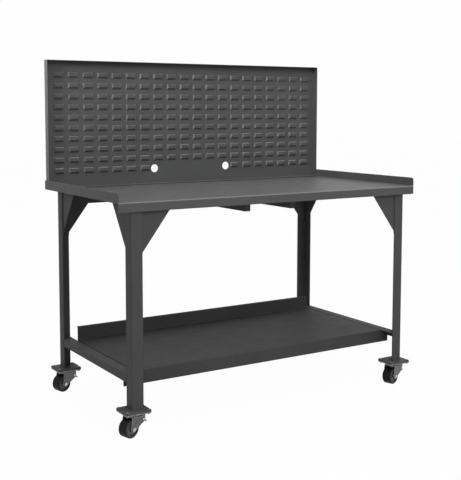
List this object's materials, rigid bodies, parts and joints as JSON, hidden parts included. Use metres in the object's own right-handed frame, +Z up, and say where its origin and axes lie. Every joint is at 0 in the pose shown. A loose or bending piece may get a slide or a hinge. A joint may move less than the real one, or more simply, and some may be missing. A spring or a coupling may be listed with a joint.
{
  "type": "mobile workbench",
  "caption": "Steel workbench on braked swivel casters, with a louvred back panel, end stops and a lower shelf.",
  "frame": {"origin": "on the floor under the middle of the bench", "axes": "+X along the bench to the right as seen from the front, +Y toward the louvred panel, +Z up"},
  "size_m": [1.524, 0.798, 1.512],
  "materials": {
    "powder_coat": "satin",
    "powder_coat_top": "satin",
    "caster_steel": "semi-gloss",
    "zinc_steel": "satin",
    "tyre_rubber": "matte",
    "core_plastic": "matte"
  },
  "bodies": {
    "frame": {"worktop": "powder_coat_top", "channel_left": "powder_coat", "channel_right": "powder_coat", "rear_rail": "powder_coat", "shelf_rail_left": "powder_coat", "shelf_rail_right": "powder_coat", "shelf": "powder_coat", "louvre_panel": "powder_coat", "foot_bolts": "zinc_steel", "leg_front_left": "powder_coat", "gusset_long_front_left": "powder_coat", "gusset_cross_front_left": "powder_coat", "foot_plate_front_left": "powder_coat", "caster_plate_front_left": "caster_steel", "kingpin_front_left": "zinc_steel", "leg_front_right": "powder_coat", "gusset_long_front_right": "powder_coat", "gusset_cross_front_right": "powder_coat", "foot_plate_front_right": "powder_coat", "caster_plate_front_right": "caster_steel", "kingpin_front_right": "zinc_steel", "leg_rear_left": "powder_coat", "gusset_long_rear_left": "powder_coat", "gusset_cross_rear_left": "powder_coat", "foot_plate_rear_left": "powder_coat", "caster_plate_rear_left": "caster_steel", "kingpin_rear_left": "zinc_steel", "leg_rear_right": "powder_coat", "gusset_long_rear_right": "powder_coat", "gusset_cross_rear_right": "powder_coat", "foot_plate_rear_right": "powder_coat", "caster_plate_rear_right": "caster_steel", "kingpin_rear_right": "zinc_steel"},
    "swivel_front_left": {"fork_front_left": "caster_steel", "axle_front_left": "zinc_steel", "pedal_pin_front_left": "zinc_steel"},
    "wheel_front_left": {"tyre_front_left": "tyre_rubber", "wheel_core_front_left": "core_plastic"},
    "pedal_front_left": {"brake_pedal_front_left": "caster_steel"},
    "swivel_front_right": {"fork_front_right": "caster_steel", "axle_front_right": "zinc_steel", "pedal_pin_front_right": "zinc_steel"},
    "wheel_front_right": {"tyre_front_right": "tyre_rubber", "wheel_core_front_right": "core_plastic"},
    "pedal_front_right": {"brake_pedal_front_right": "caster_steel"},
    "swivel_rear_left": {"fork_rear_left": "caster_steel", "axle_rear_left": "zinc_steel", "pedal_pin_rear_left": "zinc_steel"},
    "wheel_rear_left": {"tyre_rear_left": "tyre_rubber", "wheel_core_rear_left": "core_plastic"},
    "pedal_rear_left": {"brake_pedal_rear_left": "caster_steel"},
    "swivel_rear_right": {"fork_rear_right": "caster_steel", "axle_rear_right": "zinc_steel", "pedal_pin_rear_right": "zinc_steel"},
    "wheel_rear_right": {"tyre_rear_right": "tyre_rubber", "wheel_core_rear_right": "core_plastic"},
    "pedal_rear_right": {"brake_pedal_rear_right": "caster_steel"}
  },
  "joints": [
    {"name": "swivel_turn_front_left", "type": "hinge", "parent": "frame", "child": "swivel_front_left", "pos_m": [-0.687, -0.348, 0.09], "axis": [0, 0, 1], "continuous": true},
    {"name": "wheel_roll_front_left", "type": "hinge", "parent": "swivel_front_left", "child": "wheel_front_left", "pos_m": [-0.71378, -0.35619, 0.038], "axis": [-0.2924, 0.9563, 0], "continuous": true},
    {"name": "pedal_press_front_left", "type": "hinge", "parent": "swivel_front_left", "child": "pedal_front_left", "pos_m": [-0.66214, -0.3404, 0.068], "axis": [-0.2924, 0.9563, 0], "range_deg": [0, 25]},
    {"name": "swivel_turn_front_right", "type": "hinge", "parent": "frame", "child": "swivel_front_right", "pos_m": [0.687, -0.348, 0.09], "axis": [0, 0, 1], "continuous": true},
    {"name": "wheel_roll_front_right", "type": "hinge", "parent": "swivel_front_right", "child": "wheel_front_right", "pos_m": [0.66022, -0.35619, 0.038], "axis": [-0.2924, 0.9563, 0], "continuous": true},
    {"name": "pedal_press_front_right", "type": "hinge", "parent": "swivel_front_right", "child": "pedal_front_right", "pos_m": [0.71186, -0.3404, 0.068], "axis": [-0.2924, 0.9563, 0], "range_deg": [0, 25]},
    {"name": "swivel_turn_rear_left", "type": "hinge", "parent": "frame", "child": "swivel_rear_left", "pos_m": [-0.687, 0.348, 0.09], "axis": [0, 0, 1], "continuous": true},
    {"name": "wheel_roll_rear_left", "type": "hinge", "parent": "swivel_rear_left", "child": "wheel_rear_left", "pos_m": [-0.71378, 0.33981, 0.038], "axis": [-0.2924, 0.9563, 0], "continuous": true},
    {"name": "pedal_press_rear_left", "type": "hinge", "parent": "swivel_rear_left", "child": "pedal_rear_left", "pos_m": [-0.66214, 0.3556, 0.068], "axis": [-0.2924, 0.9563, 0], "range_deg": [0, 25]},
    {"name": "swivel_turn_rear_right", "type": "hinge", "parent": "frame", "child": "swivel_rear_right", "pos_m": [0.687, 0.348, 0.09], "axis": [0, 0, 1], "continuous": true},
    {"name": "wheel_roll_rear_right", "type": "hinge", "parent": "swivel_rear_right", "child": "wheel_rear_right", "pos_m": [0.66022, 0.33981, 0.038], "axis": [-0.2924, 0.9563, 0], "continuous": true},
    {"name": "pedal_press_rear_right", "type": "hinge", "parent": "swivel_rear_right", "child": "pedal_rear_right", "pos_m": [0.71186, 0.3556, 0.068], "axis": [-0.2924, 0.9563, 0], "range_deg": [0, 25]}
  ]
}
